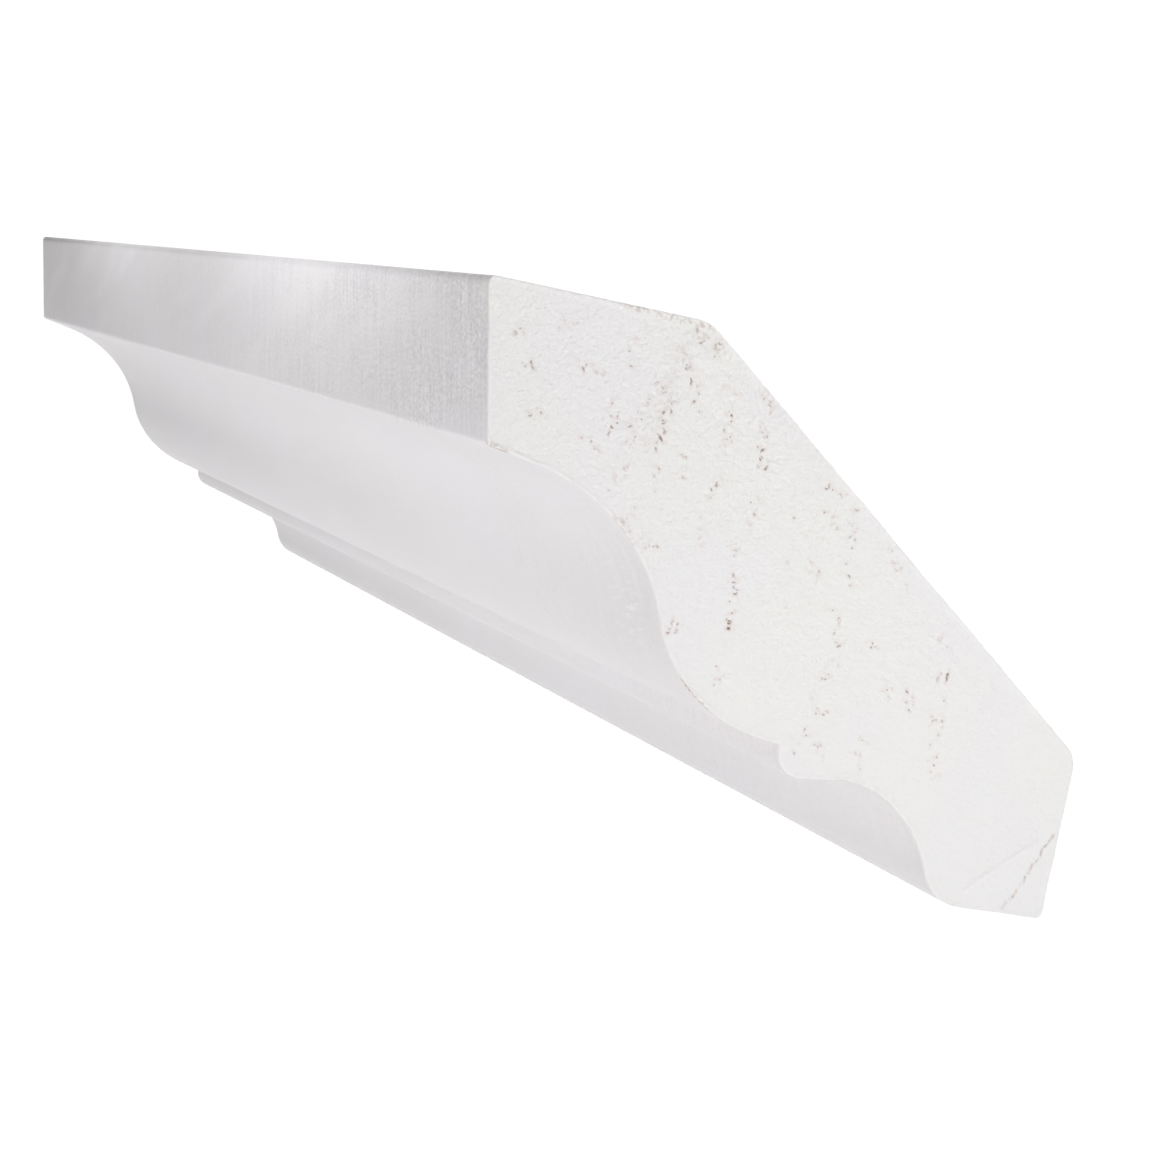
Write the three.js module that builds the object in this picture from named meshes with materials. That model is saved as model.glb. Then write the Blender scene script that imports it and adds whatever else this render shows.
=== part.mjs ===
import * as THREE from 'three';

// A short length of solid wood crown moulding, primed white all over.
// Sizes are in millimetres and angles in degrees. The length runs along X, +Y points to the wall
// and +Z to the ceiling. The origin is the middle of the flat that lies on the wall.
// The section is a chain: each size is one step of the way from the ceiling down to the foot.

const length = 305;

// Flats that lie on the ceiling and on the wall; the long back bevel joins them
const ceilingFlat = 23.4;
const wallFlat = 17.7;

// Fascia: the plain upright band under the ceiling, whose foot is set back towards the wall
const fasciaHeight = 16.05;
const fasciaSetback = 3.2;

// Cyma: a sloping lead, a cove that steepens, and an ovolo that levels out over the quirk
const leadReach = 5.2;
const leadSlope = 10.6;
const cymaReach = 31.5;
const cymaFall = 23.1;
const cymaSteepest = 71.4;
const cymaEndSlope = 1.5;
const coveShare = 0.55;

// Quirk and bead under the ovolo, then a narrow soffit that rises a little to the lower cove
const quirkDepth = 0.4;
const beadRadius = 2.8;
const soffitReach = 5.05;
const soffitRise = 0.45;

// Lower cove, its rounded arris, and the narrow flat underneath
const lowerCoveReach = 11.4;
const lowerCoveFall = 8.2;
const lowerCoveTurn = 65;
const lowerArrisRadius = 5;
const footFlat = 10.1;

// Easing of the straight arrises, measured along each side of the corner
const frontEase = 1.1;
const fasciaFootEase = 0.5;
const backEase = 1.7;
const footEase = 0.8;

const arcSegments = 12;

const degrees = THREE.MathUtils.degToRad;
const leadFall = leadReach * Math.tan(degrees(leadSlope));

// The foot arris starts at the slope on which the lower cove ends
const lowerTurn = degrees(lowerCoveTurn);
const lowerRadiusY = lowerCoveReach / Math.sin(lowerTurn);
const lowerRadiusZ = lowerCoveFall / (1 - Math.cos(lowerTurn));
const arrisSlope = Math.atan2(lowerRadiusZ * Math.sin(lowerTurn), lowerRadiusY * Math.cos(lowerTurn));
const arrisReach = lowerArrisRadius * Math.sin(arrisSlope);
const arrisFall = lowerArrisRadius * (1 - Math.cos(arrisSlope));

const projection = fasciaSetback + leadReach + cymaReach + beadRadius + soffitReach
  + lowerCoveReach + arrisReach + footFlat;
const drop = fasciaHeight + leadFall + cymaFall + quirkDepth + beadRadius - soffitRise
  + lowerCoveFall + arrisFall;

const ceilingZ = drop - wallFlat / 2;
const footZ = ceilingZ - drop;

// Rounds a corner from a point on one side of it to a point on the other
function easeCorner(outline, before, corner, after, ease) {
  const start = corner.clone().add(before.clone().sub(corner).setLength(ease));
  const end = corner.clone().add(after.clone().sub(corner).setLength(ease));
  outline.lineTo(start.x, start.y);
  outline.quadraticCurveTo(corner.x, corner.y, end.x, end.y);
}

// Adds a hollow that turns downwards from one slope to a steeper one
function hollowArc(outline, start, radiusY, radiusZ, fromSlope, toSlope) {
  const centreY = start.x - radiusY * Math.sin(fromSlope);
  const centreZ = start.y - radiusZ * Math.cos(fromSlope);
  const quarter = Math.PI / 2;
  outline.absellipse(centreY, centreZ, radiusY, radiusZ, quarter - fromSlope, quarter - toSlope, true);
  return outline.currentPoint.clone();
}

// Adds a round that levels out from one slope to a flatter one
function roundArc(outline, start, radiusY, radiusZ, fromSlope, toSlope) {
  const centreY = start.x + radiusY * Math.sin(fromSlope);
  const centreZ = start.y + radiusZ * Math.cos(fromSlope);
  const threeQuarters = 1.5 * Math.PI;
  outline.absellipse(centreY, centreZ, radiusY, radiusZ, threeQuarters - fromSlope, threeQuarters - toSlope, false);
  return outline.currentPoint.clone();
}

// Cove and ovolo share one slope where they meet, and fill the cyma's reach and fall between them
function cyma(outline, start) {
  const steepest = degrees(cymaSteepest);
  const from = degrees(leadSlope);
  const to = degrees(cymaEndSlope);
  const ovoloShare = 1 - coveShare;
  const reachOfUnit = coveShare * (Math.sin(steepest) - Math.sin(from))
    + ovoloShare * (Math.sin(steepest) - Math.sin(to));
  const fallOfUnit = coveShare * (Math.cos(from) - Math.cos(steepest))
    + ovoloShare * (Math.cos(to) - Math.cos(steepest));
  const radiusY = cymaReach / reachOfUnit;
  const radiusZ = cymaFall / fallOfUnit;
  const turn = hollowArc(outline, start, coveShare * radiusY, coveShare * radiusZ, from, steepest);
  return roundArc(outline, turn, ovoloShare * radiusY, ovoloShare * radiusZ, steepest, to);
}

function sectionOutline() {
  const ceilingFront = new THREE.Vector2(-projection, ceilingZ);
  const ceilingBack = new THREE.Vector2(ceilingFlat - projection, ceilingZ);
  const wallTop = new THREE.Vector2(0, footZ + wallFlat);
  const wallFoot = new THREE.Vector2(0, footZ);
  const fasciaFoot = new THREE.Vector2(fasciaSetback - projection, ceilingZ - fasciaHeight);
  const leadEnd = new THREE.Vector2(fasciaFoot.x + leadReach, fasciaFoot.y - leadFall);

  const outline = new THREE.Shape();
  outline.moveTo((ceilingFront.x + fasciaFoot.x) / 2, (ceilingFront.y + fasciaFoot.y) / 2);
  easeCorner(outline, ceilingFront, fasciaFoot, leadEnd, fasciaFootEase);
  outline.lineTo(leadEnd.x, leadEnd.y);

  const quirk = cyma(outline, leadEnd);
  const beadTop = new THREE.Vector2(quirk.x, quirk.y - quirkDepth);
  outline.lineTo(beadTop.x, beadTop.y);
  const beadFoot = roundArc(outline, beadTop, beadRadius, beadRadius, Math.PI / 2, 0);

  const soffitEnd = new THREE.Vector2(beadFoot.x + soffitReach, beadFoot.y + soffitRise);
  outline.lineTo(soffitEnd.x, soffitEnd.y);
  const coveEnd = hollowArc(outline, soffitEnd, lowerRadiusY, lowerRadiusZ, 0, lowerTurn);
  roundArc(outline, coveEnd, lowerArrisRadius, lowerArrisRadius, arrisSlope, 0);

  easeCorner(outline, outline.currentPoint, wallFoot, wallTop, footEase);
  easeCorner(outline, wallFoot, wallTop, ceilingBack, backEase);
  easeCorner(outline, wallTop, ceilingBack, ceilingFront, backEase);
  easeCorner(outline, ceilingBack, ceilingFront, fasciaFoot, frontEase);
  outline.closePath();
  return outline;
}

const primedWood = new THREE.MeshStandardMaterial({ color: '#ebe8e6', roughness: 0.55, metalness: 0 });

const profile = new THREE.ExtrudeGeometry(sectionOutline(), {
  depth: length,
  bevelEnabled: false,
  curveSegments: arcSegments,
});

// The section is drawn in Y and Z and drawn out along X
const moulding = new THREE.Mesh(profile, primedWood);
moulding.name = 'crown_moulding';
moulding.rotation.set(Math.PI / 2, Math.PI / 2, 0);
moulding.position.x = -length / 2;

const group = new THREE.Group();
group.add(moulding);

export default group;
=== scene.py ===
import math
import random
from functools import partial

import bmesh
import bpy
from mathutils import Matrix, Vector
from mathutils.geometry import delaunay_2d_cdt


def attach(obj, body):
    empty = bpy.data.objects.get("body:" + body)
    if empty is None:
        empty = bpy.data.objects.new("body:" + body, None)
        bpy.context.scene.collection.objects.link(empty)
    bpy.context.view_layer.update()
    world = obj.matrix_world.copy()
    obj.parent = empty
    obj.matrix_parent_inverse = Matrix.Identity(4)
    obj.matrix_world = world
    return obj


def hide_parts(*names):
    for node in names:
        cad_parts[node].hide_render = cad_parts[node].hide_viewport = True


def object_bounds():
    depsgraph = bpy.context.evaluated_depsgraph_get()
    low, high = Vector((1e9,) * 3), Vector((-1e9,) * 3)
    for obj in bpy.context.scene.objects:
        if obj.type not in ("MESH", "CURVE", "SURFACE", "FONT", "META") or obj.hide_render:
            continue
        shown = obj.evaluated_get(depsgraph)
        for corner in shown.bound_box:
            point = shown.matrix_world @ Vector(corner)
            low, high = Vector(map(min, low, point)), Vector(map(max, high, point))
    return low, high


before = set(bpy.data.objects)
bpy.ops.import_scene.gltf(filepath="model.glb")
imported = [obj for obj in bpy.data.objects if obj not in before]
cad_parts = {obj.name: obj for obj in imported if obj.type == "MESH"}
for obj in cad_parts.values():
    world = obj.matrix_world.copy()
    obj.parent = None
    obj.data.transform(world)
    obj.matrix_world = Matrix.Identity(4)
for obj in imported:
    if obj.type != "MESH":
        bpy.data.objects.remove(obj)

# A length of white primed hardwood crown moulding, sawn square at both ends.
# Sizes in the dictionaries are in millimetres, colours are sRGB hex.

cadBox = [list(corner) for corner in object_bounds()]
mm = 0.001
print("frame loaded, CAD box", cadBox)


def linearColour(hexCode):
    channels = [int(hexCode[i:i + 2], 16) / 255 for i in (0, 2, 4)]
    return [c / 12.92 if c <= 0.04045 else ((c + 0.055) / 1.055) ** 2.4 for c in channels] + [1.0]


def addNode(tree, kind, inputs=(), **settings):
    # Inputs go by name or in order; a node given as a value lends its first live output
    node = tree.nodes.new(kind)
    for name, value in settings.items():
        setattr(node, name, value)
    for key, value in (inputs.items() if isinstance(inputs, dict) else enumerate(inputs)):
        if isinstance(key, int):
            socket = node.inputs[key]
        else:
            socket = next(s for s in node.inputs if s.name == key and s.enabled)
        if isinstance(value, bpy.types.Node):
            value = next(s for s in value.outputs if s.enabled)
        if isinstance(value, bpy.types.NodeSocket):
            tree.links.new(value, socket)
        else:
            socket.default_value = value
    return node


# Camera, where the photograph was taken from

cameraPlace = {
    "lens": 84.93,
    "sensor": 36,
    "position": (401.9, -150.0, 35.9),
    "aim": (152.5, -59.05, 18.3),
    "roll": 11.5,  # degrees, the right side of the picture is up
}


def makeCamera(place):
    data = bpy.data.cameras.new("photoCamera")
    data.lens = place["lens"]
    data.sensor_width = place["sensor"]
    data.clip_start = 0.01  # in metres
    data.clip_end = 50
    cameraObject = bpy.data.objects.new("photoCamera", data)
    bpy.context.scene.collection.objects.link(cameraObject)
    position = Vector(place["position"]) * mm
    forward = (Vector(place["aim"]) * mm - position).normalized()
    levelRight = forward.cross(Vector((0, 0, 1))).normalized()
    levelUp = levelRight.cross(forward)
    roll = math.radians(place["roll"])
    right = levelRight * math.cos(roll) + levelUp * math.sin(roll)
    up = right.cross(forward)
    turn = Matrix((right, up, -forward)).transposed()
    cameraObject.matrix_world = Matrix.Translation(position) @ turn.to_4x4()
    bpy.context.scene.camera = cameraObject


makeCamera(cameraPlace)
print("camera placed")


# Geometry Nodes helpers

def newTree(name, inputs):
    tree = bpy.data.node_groups.new(name, "GeometryNodeTree")
    tree.interface.new_socket("Geometry", in_out="INPUT", socket_type="NodeSocketGeometry")
    for label, kind in inputs:
        tree.interface.new_socket(label, in_out="INPUT", socket_type=kind)
    tree.interface.new_socket("Geometry", in_out="OUTPUT", socket_type="NodeSocketGeometry")
    return tree


def runTree(holder, tree, values):
    modifier = holder.modifiers.new(tree.name, "NODES")
    modifier.node_group = tree
    for item in tree.interface.items_tree:
        if item.item_type == "SOCKET" and item.in_out == "INPUT" and item.name in values:
            modifier[item.identifier] = values[item.name]
    bpy.context.view_layer.update()
    depsgraph = bpy.context.evaluated_depsgraph_get()
    mesh = bpy.data.meshes.new_from_object(holder.evaluated_get(depsgraph), depsgraph=depsgraph)
    holder.modifiers.clear()
    return mesh


def newHolder(name, mesh):
    holder = bpy.data.objects.new(name, mesh)
    bpy.context.scene.collection.objects.link(holder)
    return holder


# The moulding: outline, run and sawn ends

moulding = {
    "outlineStep": 0.5,  # longest side of the section's outline
    "arrisEase": 0.2,  # paint and sanding round the end arrises by about this much
    "arrisVary": 0.6,  # how uneven that easing is, as a share
    "arrisWaves": 8,  # waves of that unevenness, laid over each other round the section
    "arrisSteps": 5,
    "runSteps": 10,
    "nearPitch": 0.16,  # point spacing on the photographed end, fine enough for open pores
    "farPitch": 0.5,
    "latticeRow": 0.866,  # height of a row of points, as a share of their spacing
    "sharpAngle": 50,  # edges turn smooth below this many degrees
    "seed": 11,
}


def sectionLoop(node):
    # The solid's own outline, read round its end face
    bm = bmesh.new()
    bm.from_mesh(node.data)
    bmesh.ops.remove_doubles(bm, verts=bm.verts, dist=1e-6)
    endX = max(v.co.x for v in bm.verts)
    rim = {}
    for edge in bm.edges:
        a, b = edge.verts
        if min(a.co.x, b.co.x) > endX - 1e-6:
            flat = [f for f in edge.link_faces if all(v.co.x > endX - 1e-6 for v in f.verts)]
            if len(flat) == 1:
                rim.setdefault(a.index, []).append(b.index)
                rim.setdefault(b.index, []).append(a.index)
    bm.verts.ensure_lookup_table()
    start = next(iter(rim))
    order, previous, current = [start], None, start
    while True:
        following = [i for i in rim[current] if i != previous][0]
        if following == start:
            break
        order.append(following)
        previous, current = current, following
    loop = [Vector((bm.verts[i].co.y, bm.verts[i].co.z)) for i in order]
    bm.free()
    area = sum(a.x * b.y - b.x * a.y for a, b in zip(loop, loop[1:] + loop[:1])) / 2
    return (loop if area > 0 else loop[::-1]), endX


def divideLoop(loop, step):
    points = []
    for a, b in zip(loop, loop[1:] + loop[:1]):
        count = max(1, math.ceil((b - a).length / step))
        points += [a.lerp(b, i / count) for i in range(count)]
    return points


def inwardEasing(points, ease, vary, seed):
    # Inward directions, and an easing held back where a tight arris leaves no room for it
    n = len(points)
    tangents = [(points[(i + 1) % n] - points[i]).normalized() for i in range(n)]
    inward = []
    for i in range(n):
        t = (tangents[i - 1] + tangents[i]).normalized()
        inward.append(Vector((-t.y, t.x)))
    source = random.Random(seed)
    waves = [(source.uniform(0, 6.28), source.randint(5, 60)) for _ in range(moulding["arrisWaves"])]
    eases = []
    for i in range(n):
        wobble = sum(math.sin(k * 6.2832 * i / n + phase) for phase, k in waves) / 4
        eases.append(ease * (1 + vary * wobble))
    for i in range(n):
        j = (i + 1) % n
        side = (points[j] - points[i]).length
        closing = -(inward[j] - inward[i]).dot(tangents[i])
        if closing > 1e-6:
            limit = 0.75 * side / closing
            for k in range(-2, 4):
                eases[(i + k) % n] = min(eases[(i + k) % n], limit)
    for _ in range(3):
        eases = [min(eases[i], (eases[i - 1] + eases[i] + eases[(i + 1) % n]) / 3) for i in range(n)]
    return inward, eases


def outlineMesh(points, inward, eases):
    mesh = bpy.data.meshes.new("outline")
    n = len(points)
    mesh.from_pydata([(0, p.x, p.y) for p in points], [(i, (i + 1) % n) for i in range(n)], [])
    directions = [c for v in inward for c in (0, v.x, v.y)]
    mesh.attributes.new("inward", "FLOAT_VECTOR", "POINT").data.foreach_set("vector", directions)
    mesh.attributes.new("ease", "FLOAT", "POINT").data.foreach_set("value", eases)
    return mesh


def mouldingRunTree():
    # Sweeps the outline along X and rolls its end arrises over to the end faces
    tree = newTree("mouldingRun", [
        ("length", "NodeSocketFloat"),
        ("arrisSteps", "NodeSocketInt"),
        ("runSteps", "NodeSocketInt"),
        ("finish", "NodeSocketMaterial"),
    ])
    add = partial(addNode, tree)
    given = add("NodeGroupInput").outputs
    outline = given["Geometry"]
    count = add("GeometryNodeAttributeDomainSize", [outline], component="MESH").outputs["Point Count"]
    steps = add("ShaderNodeMath", (given["arrisSteps"], 2, given["runSteps"]), operation="MULTIPLY_ADD")
    grid = add("GeometryNodeMeshGrid", {
        "Size X": 1.0,
        "Size Y": 1.0,
        "Vertices X": add("ShaderNodeMath", (steps, 1), operation="ADD"),
        "Vertices Y": add("ShaderNodeMath", (count, 1), operation="ADD"),
    })
    where = add("ShaderNodeSeparateXYZ", [add("GeometryNodeInputPosition")]).outputs
    station = add("ShaderNodeMath", (where["X"], 0.5), operation="ADD")
    station = add("ShaderNodeMath", (station, steps), operation="MULTIPLY")
    station = add("ShaderNodeMath", [station], operation="ROUND")
    around = add("ShaderNodeMath", (where["Y"], 0.5), operation="ADD")
    around = add("ShaderNodeMath", (around, count), operation="MULTIPLY")
    around = add("ShaderNodeMath", [around], operation="ROUND")
    around = add("ShaderNodeMath", (around, count), operation="MODULO")
    place = add("GeometryNodeSampleIndex", {
        "Geometry": outline,
        "Value": add("GeometryNodeInputPosition"),
        "Index": around,
    }, data_type="FLOAT_VECTOR", domain="POINT")
    inward = add("GeometryNodeSampleIndex", {
        "Geometry": outline,
        "Value": add("GeometryNodeInputNamedAttribute", {"Name": "inward"}, data_type="FLOAT_VECTOR"),
        "Index": around,
    }, data_type="FLOAT_VECTOR", domain="POINT")
    ease = add("GeometryNodeSampleIndex", {
        "Geometry": outline,
        "Value": add("GeometryNodeInputNamedAttribute", {"Name": "ease"}, data_type="FLOAT"),
        "Index": around,
    }, data_type="FLOAT", domain="POINT")

    # Quarter turns at each end, straight between them
    farTurn = add("ShaderNodeMath", (station, given["arrisSteps"]), operation="DIVIDE", use_clamp=True)
    farTurn = add("ShaderNodeMath", (farTurn, math.pi / 2), operation="MULTIPLY")
    nearTurn = add("ShaderNodeMath", (steps, station), operation="SUBTRACT")
    nearTurn = add("ShaderNodeMath", (nearTurn, given["arrisSteps"]), operation="DIVIDE", use_clamp=True)
    nearTurn = add("ShaderNodeMath", (nearTurn, math.pi / 2), operation="MULTIPLY")
    along = add("ShaderNodeMath", (station, given["arrisSteps"]), operation="SUBTRACT")
    along = add("ShaderNodeMath", (along, given["runSteps"]), operation="DIVIDE", use_clamp=True)
    along = add("ShaderNodeMath", (along, 0.5), operation="SUBTRACT")
    straight = add("ShaderNodeMath", (ease, -2.0, given["length"]), operation="MULTIPLY_ADD")
    bulge = add("ShaderNodeMath", (
        add("ShaderNodeMath", [nearTurn], operation="COSINE"),
        add("ShaderNodeMath", [farTurn], operation="COSINE"),
    ), operation="SUBTRACT")
    x = add("ShaderNodeMath", (along, straight), operation="MULTIPLY")
    x = add("ShaderNodeMath", (bulge, ease, x), operation="MULTIPLY_ADD")
    turned = add("ShaderNodeMath", (
        add("ShaderNodeMath", [nearTurn], operation="SINE"),
        add("ShaderNodeMath", [farTurn], operation="SINE"),
    ), operation="ADD")
    inset = add("ShaderNodeMath", (2.0, turned), operation="SUBTRACT")
    inset = add("ShaderNodeMath", (ease, inset), operation="MULTIPLY")
    offset = add("ShaderNodeVectorMath", {"Vector": inward, "Scale": inset}, operation="SCALE")
    moved = add("ShaderNodeVectorMath", (place, offset), operation="ADD")
    moved = add("ShaderNodeVectorMath", (moved, add("ShaderNodeCombineXYZ", {"X": x})), operation="ADD")
    run = add("GeometryNodeSetPosition", {"Geometry": grid, "Position": moved})
    run = add("GeometryNodeMergeByDistance", {"Geometry": run, "Distance": 1e-6})
    run = add("GeometryNodeSetShadeSmooth", {"Geometry": run})
    run = add("GeometryNodeRealizeInstances", {"Geometry": run})
    run = add("GeometryNodeSetMaterial", {"Geometry": run, "Material": given["finish"]})
    add("NodeGroupOutput", [run])
    return tree


def distanceToSide(p, a, b):
    along = (p - a).dot(b - a) / max((b - a).length_squared, 1e-18)
    return (a.lerp(b, max(0, min(1, along))) - p).length


def keepOffRim(lattice, rim, gap):
    # Drops lattice points that would crowd the rim
    cell = gap * 4
    near = {}
    for a, b in zip(rim, rim[1:] + rim[:1]):
        for t in (0, 0.25, 0.5, 0.75):
            p = a.lerp(b, t)
            near.setdefault((int(p.x // cell), int(p.y // cell)), []).append((a, b))
    kept = []
    for p in lattice:
        column, row = int(p.x // cell), int(p.y // cell)
        sides = [side for i in (-1, 0, 1) for j in (-1, 0, 1) for side in near.get((column + i, row + j), [])]
        if all(distanceToSide(p, a, b) >= gap for a, b in sides):
            kept.append(p)
    return kept


def endFaceMesh(points, inward, eases, x, pitch):
    # A flat end face inside the eased arris, filled with an even lattice of points
    rim = [p + v * e for p, v, e in zip(points, inward, eases)]
    low = Vector((min(p.x for p in rim), min(p.y for p in rim)))
    high = Vector((max(p.x for p in rim), max(p.y for p in rim)))
    rowHeight = pitch * moulding["latticeRow"]
    margin = 0.6 * pitch
    lattice = []
    sides = list(zip(rim, rim[1:] + rim[:1]))
    for row in range(1, int((high.y - low.y) / rowHeight) + 1):
        z = low.y + row * rowHeight
        stagger = 0.5 * (row % 2)
        crossed = [(a, b) for a, b in sides if (a.y > z) != (b.y > z)]
        crossings = sorted(a.x + (z - a.y) / (b.y - a.y) * (b.x - a.x) for a, b in crossed)
        for start, end in zip(crossings[::2], crossings[1::2]):
            first = math.ceil((start + margin - low.x) / pitch - stagger)
            y = low.x + (first + stagger) * pitch
            while y < end - margin:
                lattice.append(Vector((y, z)))
                y += pitch
    clear = keepOffRim(lattice, rim, pitch * 0.45)
    n = len(rim)
    verts, _, faces, _, _, _ = delaunay_2d_cdt(rim + clear, [(i, (i + 1) % n) for i in range(n)],
                                               [list(range(n))], 1, 1e-9)
    mesh = bpy.data.meshes.new("endFace")
    mesh.from_pydata([(x, v.x, v.y) for v in verts], [], [f if x > 0 else f[::-1] for f in faces])
    return mesh


# What the saw and the primer left on the end grain

endGrain = {
    "poreSize": (0.04, 0.11),  # half width of an open pore
    "poreStretch": (1.5, 3.4),  # how much longer than wide a pore is
    "poreCrowd": 1.5,  # pores for each one counted in a stretch
    "poreStain": (0.28, 0.88),  # how much of the brown wood shows in it
    "poreDepth": 0.1,
    "poreLip": 0.03,  # primer swelled up round a pore
    "poreSlant": (-40, 50),  # a pore's slant in degrees and how far it strays
    "poreScatter": 0.5,
    "poreRagged": 0.35,  # how far a pore's edge strays
    "haloWidth": 0.45,  # thin, stained primer round a pore
    "stippleSize": 0.62,
    "stippleDepth": 0.1,
    "stippleTorn": (0.9, 2.4),  # how strong it is at the wall flat's middle and at the torn height
    "tornHeight": 36,  # the saw tore the grain most from here up
    "shakeWidth": 0.10,
    "shakeDepth": 0.18,
    "shakeStain": 0.36,
    "shakeWander": 1.1,  # how far the shake strays from its path
    "ridgeWidth": 0.45,
    "ridgeHeight": 0.11,
    "rimFade": 0.3,  # the relief dies out this near the arris
    "seed": 5,
    "farSeed": 45,
}

# The lengths among them that the nodes take as inputs
endLengths = ["poreDepth", "poreLip", "poreScatter", "haloWidth", "stippleSize", "stippleDepth", "shakeWidth",
              "shakeDepth", "ridgeWidth", "ridgeHeight", "rimFade"]

# Stretches of growth ring where pores stay open: start y, z, end y, z, number of pores, size
poreStretches = [
    (-70.5, 41.0, -68.8, 40.1, 3, 0.9),
    (-66.3, 42.0, -64.5, 42.3, 2, 0.8),
    (-63.9, 38.8, -60.4, 38.2, 6, 1.0),
    (-69.0, 37.5, -67.3, 37.5, 2, 1.2),
    (-67.9, 32.7, -65.8, 32.9, 4, 0.9),
    (-61.7, 31.3, -59.0, 30.6, 3, 1.0),
    (-58.5, 43.1, -58.0, 39.1, 2, 0.9),
    (-58.6, 35.4, -58.3, 32.5, 4, 1.2),
    (-51.9, 44.3, -51.0, 42.8, 4, 0.9),
    (-49.4, 43.7, -48.9, 42.0, 4, 0.8),
    (-52.6, 41.7, -51.9, 40.1, 6, 1.2),
    (-51.2, 39.7, -50.2, 36.4, 6, 1.1),
    (-54.6, 38.9, -53.4, 37.3, 4, 0.9),
    (-53.0, 37.1, -53.4, 32.2, 9, 1.3),
    (-55.3, 36.9, -56.7, 31.4, 8, 1.1),
    (-56.2, 30.0, -57.1, 27.0, 4, 1.0),
    (-53.2, 30.7, -53.0, 28.2, 3, 0.8),
    (-50.6, 32.6, -50.3, 29.4, 3, 0.8),
    (-54.5, 26.2, -55.3, 24.1, 3, 0.9),
    (-54.3, 23.2, -51.3, 22.4, 5, 1.0),
    (-47.4, 39.2, -45.8, 39.0, 3, 0.8),
    (-46.6, 37.3, -46.2, 33.1, 7, 1.2),
    (-46.2, 30.3, -46.7, 28.7, 4, 1.1),
    (-47.4, 26.2, -46.8, 22.9, 4, 0.7),
    (-43.4, 39.3, -42.3, 38.0, 6, 0.9),
    (-43.2, 36.0, -41.9, 35.2, 4, 1.0),
    (-43.2, 34.1, -42.0, 31.9, 6, 1.2),
    (-42.0, 29.7, -42.1, 25.4, 4, 0.9),
    (-43.5, 24.7, -43.0, 23.4, 3, 0.8),
    (-42.3, 21.5, -42.0, 18.2, 5, 1.1),
    (-42.0, 17.4, -42.2, 15.5, 5, 1.3),
    (-42.0, 11.7, -42.4, 9.4, 3, 0.9),
    (-48.2, 14.5, -47.7, 15.6, 5, 1.2),
    (-38.1, 30.2, -36.2, 16.2, 2, 0.7),
    (-35.0, 32.1, -32.7, 31.1, 4, 1.1),
    (-34.5, 29.5, -32.4, 27.7, 3, 1.1),
    (-31.1, 30.2, -30.9, 26.0, 5, 1.1),
    (-31.3, 25.0, -30.3, 22.3, 4, 0.9),
    (-34.6, 23.7, -33.5, 22.3, 4, 0.9),
    (-30.8, 19.4, -30.0, 15.7, 6, 1.0),
    (-30.2, 14.2, -30.7, 11.8, 4, 0.9),
    (-31.4, 9.8, -29.6, 8.7, 4, 1.0),
    (-31.5, 6.9, -32.0, 4.6, 3, 1.0),
    (-29.6, 6.1, -29.3, 4.9, 4, 1.0),
    (-26.6, 27.1, -23.6, 22.8, 5, 0.9),
    (-26.0, 17.0, -25.6, 16.5, 3, 1.1),
    (-23.3, 13.1, -22.8, 11.6, 3, 0.8),
    (-20.8, 12.2, -20.4, 11.0, 4, 1.0),
    (-25.2, 6.8, -24.7, 4.2, 3, 0.8),
    (-19.2, 18.9, -17.0, 17.9, 3, 0.9),
    (-18.1, 14.9, -17.0, 14.4, 3, 1.3),
    (-18.3, 10.9, -16.4, 9.4, 4, 0.9),
    (-17.1, 12.8, -16.7, 7.0, 3, 0.8),
    (-16.7, 6.6, -15.9, 4.4, 5, 1.1),
]

# A fine shake across the corner by the wall, and the low ridge of primer beside it
shakePath = [(-0.7, 0.4), (-1.0, -0.35), (-1.35, -1.05), (-2.0, -2.85), (-2.75, -4.2), (-3.2, -5.4),
             (-4.05, -6.95), (-5.1, -8.3)]
ridgePath = [(-2.6, -0.8), (-5.0, -2.85), (-7.2, -4.65), (-9.7, -6.9)]


def poreMarks(x, seed):
    # Points on the growth rings, each with its pore's size, slant and stain
    source = random.Random(seed)
    low, high = endGrain["poreSize"]
    places, sizes, stains, slants = [], [], [], []
    for y0, z0, y1, z1, count, size in poreStretches:
        count = round(count * endGrain["poreCrowd"])
        for i in range(count):
            t = (i + 0.5) / count
            places.append((x, (y0 + (y1 - y0) * t) * mm, (z0 + (z1 - z0) * t) * mm))
            sizes.append((low + (high - low) * source.random() ** 1.6) * size * mm)
            stains.append(min(1.0, source.uniform(*endGrain["poreStain"]) * size))
            angle = math.radians(source.gauss(*endGrain["poreSlant"]))
            pull = math.sqrt(1 - 1 / source.uniform(*endGrain["poreStretch"]))
            slants += [0.0, math.cos(angle) * pull, math.sin(angle) * pull]
    mesh = bpy.data.meshes.new("poreMarks")
    mesh.from_pydata(places, [], [])
    mesh.attributes.new("poreRadius", "FLOAT", "POINT").data.foreach_set("value", sizes)
    mesh.attributes.new("poreStain", "FLOAT", "POINT").data.foreach_set("value", stains)
    mesh.attributes.new("poreSlant", "FLOAT_VECTOR", "POINT").data.foreach_set("vector", slants)
    return newHolder("poreMarks", mesh)


def pathMarks(name, x, path):
    mesh = bpy.data.meshes.new(name)
    mesh.from_pydata([(x, y * mm, z * mm) for y, z in path], [(i, i + 1) for i in range(len(path) - 1)], [])
    return newHolder(name, mesh)


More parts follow.
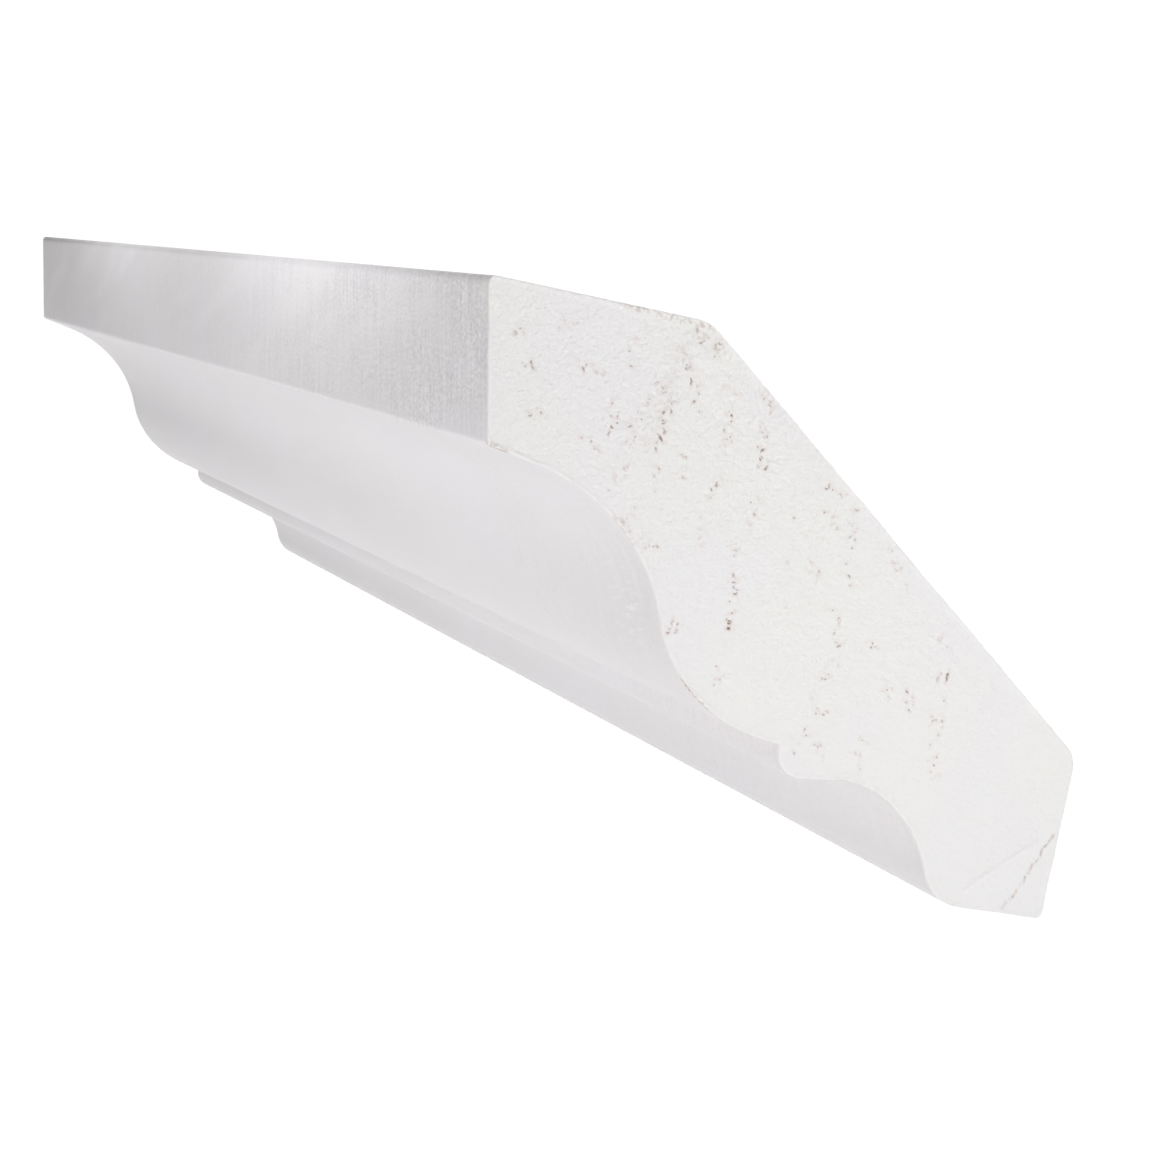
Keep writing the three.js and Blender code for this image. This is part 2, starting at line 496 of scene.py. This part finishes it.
def sawnEndTree():
    # Presses stipple, open pores, a shake and a ridge into a flat end face and stores their stains
    tree = newTree("sawnEnd", [
        ("pores", "NodeSocketObject"),
        ("shake", "NodeSocketObject"),
        ("ridge", "NodeSocketObject"),
        ("seed", "NodeSocketInt"),
        ("finish", "NodeSocketMaterial"),
        ("side", "NodeSocketFloat"),
        ("shakeStain", "NodeSocketFloat"),
    ] + [(name, "NodeSocketFloat") for name in endLengths])
    add = partial(addNode, tree)
    given = add("NodeGroupInput").outputs
    face = given["Geometry"]
    here = add("GeometryNodeInputPosition")

    # Seeded scatter moves each pore a little off its ring
    pores = add("GeometryNodeObjectInfo", {"Object": given["pores"]}).outputs["Geometry"]
    low = add("ShaderNodeMath", (given["poreScatter"], -1.0), operation="MULTIPLY")
    scatter = add("FunctionNodeRandomValue", {
        "Min": add("ShaderNodeCombineXYZ", {"Y": low, "Z": low}),
        "Max": add("ShaderNodeCombineXYZ", {"Y": given["poreScatter"], "Z": given["poreScatter"]}),
        "Seed": given["seed"],
    }, data_type="FLOAT_VECTOR")
    pores = add("GeometryNodeSetPosition", {"Geometry": pores, "Offset": scatter})
    nearest = add("GeometryNodeSampleNearest", {"Geometry": pores, "Sample Position": here}, domain="POINT")
    fromPore = {}
    for name, kind in (("poreRadius", "FLOAT"), ("poreStain", "FLOAT"), ("poreSlant", "FLOAT_VECTOR")):
        value = add("GeometryNodeInputNamedAttribute", {"Name": name}, data_type=kind)
        fromPore[name] = add("GeometryNodeSampleIndex", {"Geometry": pores, "Value": value, "Index": nearest},
                             data_type=kind, domain="POINT")
    porePlace = add("GeometryNodeSampleIndex", {"Geometry": pores, "Value": here, "Index": nearest},
                    data_type="FLOAT_VECTOR", domain="POINT")

    # A ragged, slanting slot round each point
    ragged = add("ShaderNodeTexNoise", {"Vector": here, "Scale": 1 / (0.3 * mm)}).outputs["Color"]
    ragged = add("ShaderNodeVectorMath", (ragged, (0.5, 0.5, 0.5)), operation="SUBTRACT")
    stray = endGrain["poreRagged"] * mm
    ragged = add("ShaderNodeVectorMath", (ragged, (0.0, stray, stray), here), operation="MULTIPLY_ADD")
    gap = add("ShaderNodeVectorMath", (ragged, porePlace), operation="SUBTRACT")
    slide = add("ShaderNodeVectorMath", (gap, fromPore["poreSlant"]), operation="DOT_PRODUCT")
    slide = add("ShaderNodeVectorMath", {"Vector": fromPore["poreSlant"], "Scale": slide}, operation="SCALE")
    apart = add("ShaderNodeVectorMath", (gap, slide), operation="SUBTRACT")
    apart = add("ShaderNodeVectorMath", [apart], operation="LENGTH")
    radii = add("ShaderNodeMath", (apart, fromPore["poreRadius"]), operation="DIVIDE")
    pore = add("ShaderNodeMapRange", (radii, 1.2, 0.4), interpolation_type="SMOOTHSTEP")
    lip = add("ShaderNodeMapRange", (radii, 3.2, 1.4), interpolation_type="SMOOTHSTEP")
    patches = add("ShaderNodeTexNoise", {"Vector": here, "Scale": 1 / (0.5 * mm), "Detail": 1.0})
    patches = add("ShaderNodeMapRange", (patches, 0.42, 0.62), interpolation_type="SMOOTHSTEP")
    halo = add("ShaderNodeMapRange", (apart, given["haloWidth"], fromPore["poreRadius"]),
               interpolation_type="SMOOTHSTEP")
    halo = add("ShaderNodeMath", (halo, patches), operation="MULTIPLY")

    # The shake: a wandering line, partly bridged by primer
    shakeLine = add("GeometryNodeObjectInfo", {"Object": given["shake"]}).outputs["Geometry"]
    shakeCurve = add("GeometryNodeMeshToCurve", [shakeLine])
    shakeCurve = add("GeometryNodeResampleCurve", {"Curve": shakeCurve, "Length": 0.25 * mm}, mode="LENGTH")
    stray = endGrain["shakeWander"] * mm
    wander = add("ShaderNodeTexNoise", {"Vector": here, "Scale": 1 / stray, "Detail": 2.0}).outputs["Color"]
    wander = add("ShaderNodeVectorMath", (wander, (0.5, 0.5, 0.5)), operation="SUBTRACT")
    wander = add("ShaderNodeVectorMath", (wander, (0.0, stray, stray)), operation="MULTIPLY")
    shakeCurve = add("GeometryNodeSetPosition", {"Geometry": shakeCurve, "Offset": wander})
    shakeLine = add("GeometryNodeCurveToMesh", {"Curve": shakeCurve})
    fromShake = add("GeometryNodeProximity", {0: shakeLine, "Sample Position": here}, target_element="EDGES")
    fromShake = fromShake.outputs["Distance"]
    widths = add("ShaderNodeMath", (fromShake, given["shakeWidth"]), operation="DIVIDE")
    bridged = add("ShaderNodeTexNoise", {"Vector": here, "Scale": 1 / (0.4 * mm), "Detail": 1.0})
    bridged = add("ShaderNodeMapRange", (bridged, 0.45, 0.56, 0.1, 1.0), interpolation_type="SMOOTHSTEP")
    shake = add("ShaderNodeMapRange", (widths, 1.0, 0.25), interpolation_type="SMOOTHSTEP")
    shake = add("ShaderNodeMath", (shake, bridged), operation="MULTIPLY")
    shakeHalo = add("ShaderNodeMapRange", (widths, 4.0, 0.0), interpolation_type="SMOOTHSTEP")
    shakeHalo = add("ShaderNodeMath", (shakeHalo, patches), operation="MULTIPLY")

    ridgeLine = add("GeometryNodeObjectInfo", {"Object": given["ridge"]}).outputs["Geometry"]
    fromRidge = add("GeometryNodeProximity", {0: ridgeLine, "Sample Position": here}, target_element="EDGES")
    fromRidge = fromRidge.outputs["Distance"]
    ridge = add("ShaderNodeMapRange", (fromRidge, given["ridgeWidth"], 0.0), interpolation_type="SMOOTHSTEP")

    # Stipple of the primer, coarser where the saw tore the grain higher up
    stipple = add("ShaderNodeTexNoise", {
        "Vector": here,
        "W": given["seed"],
        "Scale": add("ShaderNodeMath", (1.0, given["stippleSize"]), operation="DIVIDE"),
        "Detail": 2.5,
    }, noise_dimensions="4D")
    stipple = add("ShaderNodeMath", (stipple, 0.85), operation="SUBTRACT")
    up = add("ShaderNodeSeparateXYZ", [here]).outputs["Z"]
    torn = add("ShaderNodeMapRange", (up, 0.0, endGrain["tornHeight"] * mm, *endGrain["stippleTorn"]))
    stipple = add("ShaderNodeMath", (stipple, torn), operation="MULTIPLY")

    # Everything fades out at the rim, where the face joins its arris
    neighbours = add("GeometryNodeInputMeshEdgeNeighbors")
    atRim = add("FunctionNodeCompare", {"A": neighbours, "B": 1}, data_type="INT", operation="EQUAL")
    rim = add("GeometryNodeSeparateGeometry", {"Geometry": face, "Selection": atRim}, domain="EDGE")
    fromRim = add("GeometryNodeProximity", {0: rim, "Sample Position": here}, target_element="EDGES")
    fromRim = fromRim.outputs["Distance"]
    inside = add("ShaderNodeMapRange", (fromRim, 0.0, given["rimFade"]), interpolation_type="SMOOTHSTEP")

    height = add("ShaderNodeMath", (stipple, given["stippleDepth"]), operation="MULTIPLY")
    height = add("ShaderNodeMath", (lip, given["poreLip"], height), operation="MULTIPLY_ADD")
    height = add("ShaderNodeMath", (ridge, given["ridgeHeight"], height), operation="MULTIPLY_ADD")
    hole = add("ShaderNodeMath", (pore, given["poreDepth"]), operation="MULTIPLY")
    height = add("ShaderNodeMath", (height, hole), operation="SUBTRACT")
    crack = add("ShaderNodeMath", (shake, given["shakeDepth"]), operation="MULTIPLY")
    height = add("ShaderNodeMath", (height, crack), operation="SUBTRACT")
    height = add("ShaderNodeMath", (height, inside), operation="MULTIPLY")
    height = add("ShaderNodeMath", (height, given["side"]), operation="MULTIPLY")
    poreBrown = add("ShaderNodeMath", (pore, fromPore["poreStain"]), operation="MULTIPLY")
    shakeBrown = add("ShaderNodeMath", (shake, given["shakeStain"]), operation="MULTIPLY")
    brown = add("ShaderNodeMath", (poreBrown, shakeBrown), operation="MAXIMUM")
    thin = add("ShaderNodeMath", (halo, shakeHalo), operation="MAXIMUM")
    face = add("GeometryNodeStoreNamedAttribute", {"Geometry": face, "Name": "openPore", "Value": brown},
               data_type="FLOAT", domain="POINT")
    face = add("GeometryNodeStoreNamedAttribute", {"Geometry": face, "Name": "poreHalo", "Value": thin},
               data_type="FLOAT", domain="POINT")
    outwards = add("ShaderNodeCombineXYZ", {"X": height})
    face = add("GeometryNodeSetPosition", {"Geometry": face, "Offset": outwards})
    face = add("GeometryNodeSetShadeSmooth", {"Geometry": face})
    face = add("GeometryNodeRealizeInstances", {"Geometry": face})
    face = add("GeometryNodeSetMaterial", {"Geometry": face, "Material": given["finish"]})
    add("NodeGroupOutput", [face])
    return tree


# Materials

primerColours = {
    "milled": "e9e6e9",
    "milledWarm": "e8e4e5",
    # milledShade is painted shade on the knife marks' dark sides; the colour below it is painted highlight on
    # their light sides and on the sheen streaks, and also the colour of real scuffs
    "milledShade": "d6d3d6",
    "paintedHighlightAndScuff": "f8f6f7",
    "endGrain": "efeeec",
    "endGrainCool": "efedee",
    "halo": "e0cdc4",
    "pore": "7c5544",
    "bareWood": "a5806a",
}


def newMaterial(name, roughness):
    material = bpy.data.materials.new(name)
    material.use_nodes = True
    tree = material.node_tree
    tree.nodes.clear()
    shader = addNode(tree, "ShaderNodeBsdfPrincipled", {"Roughness": roughness, "IOR": 1.5})
    addNode(tree, "ShaderNodeOutputMaterial", {"Surface": shader})
    return material, tree, shader


def surfacePatterns(tree, coords, patterns):
    # Noise on object coordinates, by its size along x, y and z, its detail and its slant about Y
    made = {}
    for name, (sizes, detail, slant) in patterns.items():
        turn = (0, math.radians(slant), 0)
        scale = [1 / (size * mm) for size in sizes]
        turned = addNode(tree, "ShaderNodeMapping", {"Vector": coords, "Rotation": turn})
        scaled = addNode(tree, "ShaderNodeMapping", {"Vector": turned, "Scale": scale})
        made[name] = addNode(tree, "ShaderNodeTexNoise", {"Vector": scaled, "Scale": 1.0, "Detail": detail})
    return made


# Where the primer wore or ran thin by the near end: from x, y, z, to x, y, z, reach, strength
thinPrimer = [
    ((152.2, -70.0, 45.2), (152.2, -60.0, 45.2), 0.35, 0.25),
    ((152.2, -60.0, 45.2), (152.2, -50.3, 44.8), 0.55, 0.80),
    ((152.5, -51.6, 44.2), (152.5, -49.2, 43.2), 1.50, 0.30),
    ((152.2, -70.4, 29.3), (152.3, -68.8, 28.7), 0.70, 0.80),
    ((152.4, -56.0, 24.6), (152.4, -54.0, 22.8), 0.80, 0.40),
    ((152.1, -46.2, 10.0), (152.1, -42.0, 7.1), 0.50, 1.30),
    ((151.8, -26.4, 2.3), (151.8, -20.9, 0.8), 1.60, 0.20),
    ((152.5, -43.0, 40.0), (152.5, -35.0, 34.8), 1.80, 0.16),
    ((152.5, -53.0, 42.0), (152.5, -54.5, 33.0), 2.00, 0.16),
]


def thinPrimerMask(tree, coords):
    add = partial(addNode, tree)
    total = None
    for start, end, reach, strength in thinPrimer:
        a, b = Vector(start) * mm, Vector(end) * mm
        fromStart = add("ShaderNodeVectorMath", (coords, a), operation="SUBTRACT")
        slope = (b - a) / (b - a).length_squared
        along = add("ShaderNodeVectorMath", (fromStart, slope), operation="DOT_PRODUCT")
        along = add("ShaderNodeMath", (along, 0.0), operation="ADD", use_clamp=True)
        foot = add("ShaderNodeVectorMath", {"Vector": b - a, "Scale": along}, operation="SCALE")
        gap = add("ShaderNodeVectorMath", (fromStart, foot), operation="DISTANCE")
        mark = add("ShaderNodeMapRange", (gap, reach * mm, 0.0, 0.0, strength))
        total = mark if total is None else add("ShaderNodeMath", (total, mark), operation="MAXIMUM")
    patches = surfacePatterns(tree, coords, {"patches": ((0.45, 0.45, 0.45), 3.0, 0)})["patches"]
    patches = add("ShaderNodeMapRange", (patches, 0.45, 0.62))
    return add("ShaderNodeMath", (total, patches), operation="MULTIPLY")


# Pattern sizes in mm along x, y and z, detail, slant in degrees
milledPatterns = {
    "cloud": ((60, 18, 18), 2.0, 0),
    "sheenStreaks": ((40, 30, 5), 1.0, 14),  # soft slanting lighter bands, a painted sheen on the fascia
    "dryPatches": ((22, 9, 9), 3.0, 0),
    "knifeMarks": ((0.9, 7, 7), 2.0, 0),  # ripple of the cutter head
    "fibres": ((18, 0.45, 0.45), 3.0, 0),
    "dust": ((0.75, 0.4, 0.4), 3.0, 0),
    "scuffs": ((7.0, 0.45, 0.45), 2.0, 12),
}

endPatterns = {
    "cloud": ((14, 14, 14), 2.0, 0),
    "specks": ((0.16, 0.16, 0.16), 1.0, 0),
    "grit": ((0.36, 0.36, 0.36), 3.0, 0),
}

scuffedPlace = {"middle": (143, -50, 15.5), "reach": 7.0, "strength": 0.7}

# Heights of the finest texture, in mm, and what laps round the arrises
textureHeight = {"knifeMarks": 0.06, "fibres": 0.03, "dust": 0.08, "grit": 0.22}
lappedPrimer = {"from": 0.80, "to": 0.40, "ragged": 0.5, "share": 0.7}


def milledPrimer():
    # Sprayed acrylic primer on knife-cut hardwood: satin white with faint knife marks across the length
    material, tree, shader = newMaterial("primerOnMilledWood", 0.46)
    add = partial(addNode, tree)
    coords = add("ShaderNodeTexCoord").outputs["Object"]
    pattern = surfacePatterns(tree, coords, milledPatterns)
    colour = add("ShaderNodeMix", {
        "Factor": add("ShaderNodeMapRange", (pattern["cloud"], 0.35, 0.65)),
        "A": linearColour(primerColours["milled"]),
        "B": linearColour(primerColours["milledWarm"]),
    }, data_type="RGBA")

    # Dry spray shows the marks most by the near end; each mark's lighter and darker side is painted highlight
    # and painted shade, the light falling across the ripple painted into the colour
    place = add("ShaderNodeSeparateXYZ", [coords]).outputs
    alongX = place["X"]
    dry = add("ShaderNodeMath", (
        add("ShaderNodeMapRange", (pattern["dryPatches"], 0.32, 0.60, 0.3, 1.0)),
        add("ShaderNodeMapRange", (alongX, 20 * mm, 145 * mm, 0.3, 1.0)),
    ), operation="MULTIPLY")
    onFascia = add("ShaderNodeMapRange", (place["Y"], -68 * mm, -71.5 * mm, 0.3, 1.25))
    dry = add("ShaderNodeMath", (dry, onFascia), operation="MULTIPLY")
    marks = add("ShaderNodeMix", {"Factor": 0.6, "A": pattern["knifeMarks"], "B": pattern["dust"]},
                data_type="FLOAT")
    light = add("ShaderNodeMath", (add("ShaderNodeMapRange", (marks, 0.50, 0.70)), dry), operation="MULTIPLY")
    dark = add("ShaderNodeMath", (add("ShaderNodeMapRange", (marks, 0.50, 0.30)), dry), operation="MULTIPLY")
    # Painted sheen: soft slanting lighter bands on the fascia, mixed in with the painted highlight
    sheenStreaks = add("ShaderNodeMapRange", (pattern["sheenStreaks"], 0.50, 0.70, 0.0, 0.3))
    sheenStreaks = add("ShaderNodeMath", (sheenStreaks, onFascia), operation="MULTIPLY")
    light = add("ShaderNodeMath", (light, sheenStreaks), operation="MAXIMUM")
    middle = Vector(scuffedPlace["middle"]) * mm
    reach = scuffedPlace["reach"] * mm
    fromScuffs = add("ShaderNodeVectorMath", (coords, middle), operation="DISTANCE")
    scuffs = add("ShaderNodeMath", (
        add("ShaderNodeMapRange", (fromScuffs, reach, 0.0, 0.0, scuffedPlace["strength"])),
        add("ShaderNodeMapRange", (pattern["scuffs"], 0.55, 0.66)),
    ), operation="MULTIPLY")
    light = add("ShaderNodeMath", (light, scuffs), operation="MAXIMUM")

    # The thicker primer of the end grain laps round the arrises
    fromMiddle = add("ShaderNodeMath", [alongX], operation="ABSOLUTE")
    fromEnd = add("ShaderNodeMath", (cadBox[1][0], fromMiddle), operation="SUBTRACT")
    ragged = lappedPrimer["ragged"] * mm
    fromEnd = add("ShaderNodeMath", (pattern["dust"], ragged, fromEnd), operation="MULTIPLY_ADD")
    lapped = add("ShaderNodeMapRange", {
        "Value": fromEnd,
        "From Min": lappedPrimer["from"] * mm,
        "From Max": lappedPrimer["to"] * mm,
        "To Max": lappedPrimer["share"],
    })
    # Laid in order: painted highlight together with real scuffs, painted shade, the lapped end primer, then
    # bare wood where the primer ran thin
    layers = (
        (light, "paintedHighlightAndScuff"),
        (dark, "milledShade"),
        (lapped, "endGrain"),
        (thinPrimerMask(tree, coords), "bareWood"),
    )
    for cover, paint in layers:
        colour = add("ShaderNodeMix", {"Factor": cover, "A": colour, "B": linearColour(primerColours[paint])},
                     data_type="RGBA")
    normal = None
    for name, strength in (("knifeMarks", onFascia), ("fibres", 0.5), ("dust", dry)):
        bump = add("ShaderNodeBump", {
            "Height": pattern[name],
            "Distance": textureHeight[name] * mm,
            "Strength": strength,
        })
        if normal is not None:
            tree.links.new(normal.outputs[0], bump.inputs["Normal"])
        normal = bump
    roughness = add("ShaderNodeMapRange", (dry, 0.0, 1.0, 0.42, 0.54))
    tree.links.new(colour.outputs["Result"], shader.inputs["Base Color"])
    tree.links.new(roughness.outputs[0], shader.inputs["Roughness"])
    tree.links.new(normal.outputs[0], shader.inputs["Normal"])
    return material


def endGrainPrimer():
    # The same primer drunk by sawn end grain: flatter, stippled, with brown pores left open
    material, tree, shader = newMaterial("primerOnEndGrain", 0.62)
    add = partial(addNode, tree)
    coords = add("ShaderNodeTexCoord").outputs["Object"]
    openPore = add("ShaderNodeAttribute", attribute_name="openPore").outputs["Fac"]
    poreHalo = add("ShaderNodeAttribute", attribute_name="poreHalo").outputs["Fac"]
    pattern = surfacePatterns(tree, coords, endPatterns)
    colour = add("ShaderNodeMix", {
        "Factor": add("ShaderNodeMapRange", (pattern["cloud"], 0.35, 0.65)),
        "A": linearColour(primerColours["endGrain"]),
        "B": linearColour(primerColours["endGrainCool"]),
    }, data_type="RGBA")
    height = add("ShaderNodeSeparateXYZ", [coords]).outputs["Z"]
    torn = add("ShaderNodeMapRange", (height, -8 * mm, endGrain["tornHeight"] * mm, 0.4, 1.0))

    # Specks too fine for the mesh, most of them inside the halos
    specks = add("ShaderNodeMapRange", (pattern["specks"], 0.62, 0.72, 0.0, 0.35))
    scattered = add("ShaderNodeMath", (torn, 0.3), operation="MULTIPLY")
    scattered = add("ShaderNodeMath", (poreHalo, scattered), operation="MAXIMUM")
    specks = add("ShaderNodeMath", (specks, scattered), operation="MULTIPLY")
    layers = (
        (add("ShaderNodeMath", (poreHalo, 0.4), operation="MULTIPLY"), "halo"),
        (thinPrimerMask(tree, coords), "bareWood"),
        (add("ShaderNodeMath", (specks, openPore), operation="MAXIMUM"), "pore"),
    )
    for cover, paint in layers:
        colour = add("ShaderNodeMix", {"Factor": cover, "A": colour, "B": linearColour(primerColours[paint])},
                     data_type="RGBA")
    grit = add("ShaderNodeBump", {
        "Height": pattern["grit"],
        "Distance": textureHeight["grit"] * mm,
        "Strength": torn,
    })
    tree.links.new(colour.outputs["Result"], shader.inputs["Base Color"])
    tree.links.new(grit.outputs[0], shader.inputs["Normal"])
    return material


milledFinish = milledPrimer()
endFinish = endGrainPrimer()
print("primers mixed")


def sawEnd(side, pitch, halfLength, rim, tree):
    # The finished face of one end; side is 1 at the near end and -1 at the far one
    x = side * halfLength
    seed = endGrain["seed"] if side > 0 else endGrain["farSeed"]
    face = newHolder("endFace", endFaceMesh(*rim, x, pitch * mm))
    marks = {"pores": poreMarks(x, seed), "shake": pathMarks("shake", x, shakePath),
             "ridge": pathMarks("ridge", x, ridgePath)}
    values = {name: endGrain[name] * mm for name in endLengths}
    values.update(marks, side=side, seed=seed, shakeStain=endGrain["shakeStain"], finish=endFinish)
    mesh = runTree(face, tree, values)
    for helper in (face, *marks.values()):
        bpy.data.objects.remove(helper)
    return mesh


def closeMoulding(meshes):
    # Joins the run and its ends into one closed mesh with a slot for each primer
    parts = [newHolder("primed_moulding", mesh) for mesh in meshes]
    with bpy.context.temp_override(active_object=parts[0], selected_editable_objects=parts):
        bpy.ops.object.join()
    piece = parts[0]
    bm = bmesh.new()
    bm.from_mesh(piece.data)
    bmesh.ops.remove_doubles(bm, verts=bm.verts, dist=2e-6)
    bmesh.ops.recalc_face_normals(bm, faces=bm.faces)
    openEdges = sum(1 for e in bm.edges if len(e.link_faces) != 2)
    bm.to_mesh(piece.data)
    bm.free()
    joined = list(piece.data.materials)
    finishes = [milledFinish, endFinish]
    slots = [finishes.index(joined[p.material_index]) for p in piece.data.polygons]
    piece.data.materials.clear()
    for finish in finishes:
        piece.data.materials.append(finish)
    piece.data.polygons.foreach_set("material_index", slots)
    piece.data.set_sharp_from_angle(angle=math.radians(moulding["sharpAngle"]))
    triangles = sum(len(p.vertices) - 2 for p in piece.data.polygons)
    print("moulding closed,", triangles, "triangles,", openEdges, "open edges")
    return piece


def buildMoulding():
    loop, halfLength = sectionLoop(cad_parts["crown_moulding"])
    points = divideLoop(loop, moulding["outlineStep"] * mm)
    inward, eases = inwardEasing(points, moulding["arrisEase"] * mm, moulding["arrisVary"], moulding["seed"])
    print("outline read,", len(points), "points")
    outline = newHolder("outline", outlineMesh(points, inward, eases))
    run = runTree(outline, mouldingRunTree(), {
        "length": 2 * halfLength,
        "arrisSteps": moulding["arrisSteps"],
        "runSteps": moulding["runSteps"],
        "finish": milledFinish,
    })
    bpy.data.objects.remove(outline)
    print("run swept")
    rim = (points, inward, eases)
    endTree = sawnEndTree()
    nearEnd = sawEnd(1.0, moulding["nearPitch"], halfLength, rim, endTree)
    farEnd = sawEnd(-1.0, moulding["farPitch"], halfLength, rim, endTree)
    print("ends sawn and stippled")
    return closeMoulding([run, nearEnd, farEnd])


piece = buildMoulding()


# Floor, world and lights

studio = {
    "floorDrop": 260,
    "floorReach": 12000,
    "floorColour": "dedede",
    "ambient": 0.012,  # soft light from the room itself
    "overhead": 0.12,  # light of the ceiling panel
    "panelRise": (0.35, 0.75),  # the panel starts and is full at these heights, 1 being straight up
    "room": 1.05,  # how bright the room looks
    "floorGlow": 1.02,  # the floor is a light table that turns white away from its middle
    "floorGlowShare": 0.24,  # how much of that the middle has
    "floorMiddle": (350, -200, 0),
    "glowFrom": 760,
    "glowTo": 915,
}

# Softboxes and soft spots: name, kind, place, aim, power in watts, size or cone, softness
lamps = [
    ("endBox", "AREA", (700, 200, 400), (150, -40, 18), 2.35, 300, 0),
    ("backBox", "AREA", (-150, 900, 420), (0, -20, 20), 5, 600, 0),
    ("faceSpot", "SPOT", (60, -650, -60), (50, -50, 10), 3.4, 36, 100),
    ("crestSpotFar", "SPOT", (-52, -400, 150), (-52, -72, 215), 27, 62, 15),
    ("crestSpotNear", "SPOT", (70, -400, 150), (70, -72, 215), 36, 62, 15),
    ("footSpot", "SPOT", (420, -300, -250), (170, -20, -10), 4.8, 36, 100),
    ("topSpot", "SPOT", (-25, -100, 700), (-15, -66, 40), 10, 48, 40),
    ("sideSpot", "SPOT", (600, 0, -240), (152, -20, 0), 2, 36, 100),
]


def addLamp(name, kind, place, aim, power, extent, softness):
    data = bpy.data.lights.new(name, kind)
    data.energy = power
    if kind == "AREA":
        data.size = extent * mm
    else:
        data.spot_size = math.radians(extent)
        data.spot_blend = 1.0
        data.shadow_soft_size = softness * mm
    lamp = bpy.data.objects.new(name, data)
    bpy.context.scene.collection.objects.link(lamp)
    lamp.location = Vector(place) * mm
    lamp.rotation_euler = (Vector(aim) - Vector(place)).to_track_quat("-Z", "Y").to_euler()


def makeFloor():
    mesh = bpy.data.meshes.new("floor")
    reach = studio["floorReach"] * mm
    z = -studio["floorDrop"] * mm
    corners = [(-reach, -reach, z), (reach, -reach, z), (reach, reach, z), (-reach, reach, z)]
    mesh.from_pydata(corners, [], [(0, 1, 2, 3)])
    floor = newHolder("floor", mesh)
    material, tree, shader = newMaterial("lightTable", 0.9)
    shader.inputs["Base Color"].default_value = linearColour(studio["floorColour"])
    shader.inputs["Emission Color"].default_value = (1, 1, 1, 1)
    coords = addNode(tree, "ShaderNodeTexCoord").outputs["Object"]
    middle = Vector(studio["floorMiddle"]) * mm + Vector((0, 0, z))
    away = addNode(tree, "ShaderNodeVectorMath", (coords, middle), operation="DISTANCE")
    glow = addNode(tree, "ShaderNodeMapRange", {
        "Value": away,
        "From Min": studio["glowFrom"] * mm,
        "From Max": studio["glowTo"] * mm,
        "To Min": studio["floorGlow"] * studio["floorGlowShare"],
        "To Max": studio["floorGlow"],
    }, interpolation_type="SMOOTHSTEP")
    tree.links.new(glow.outputs[0], shader.inputs["Emission Strength"])
    mesh.materials.append(material)


def makeStudio():
    makeFloor()
    world = bpy.data.worlds.new("studioWorld")
    bpy.context.scene.world = world
    world.use_nodes = True
    tree = world.node_tree
    tree.nodes.clear()
    height = addNode(tree, "ShaderNodeSeparateXYZ", [addNode(tree, "ShaderNodeTexCoord")]).outputs["Z"]
    brightness = studio["ambient"], studio["overhead"]
    panel = addNode(tree, "ShaderNodeMapRange", (height, *studio["panelRise"], *brightness))
    seen = addNode(tree, "ShaderNodeLightPath").outputs["Is Camera Ray"]
    strength = addNode(tree, "ShaderNodeMix", {"Factor": seen, "A": panel, "B": studio["room"]},
                       data_type="FLOAT")
    background = addNode(tree, "ShaderNodeBackground", {"Color": (1, 1, 1, 1), "Strength": strength})
    addNode(tree, "ShaderNodeOutputWorld", {"Surface": background})
    bpy.context.scene.view_settings.view_transform = "Standard"
    for lamp in lamps:
        addLamp(*lamp)


makeStudio()
print("studio lit")

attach(piece, "root")
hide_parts("crown_moulding")
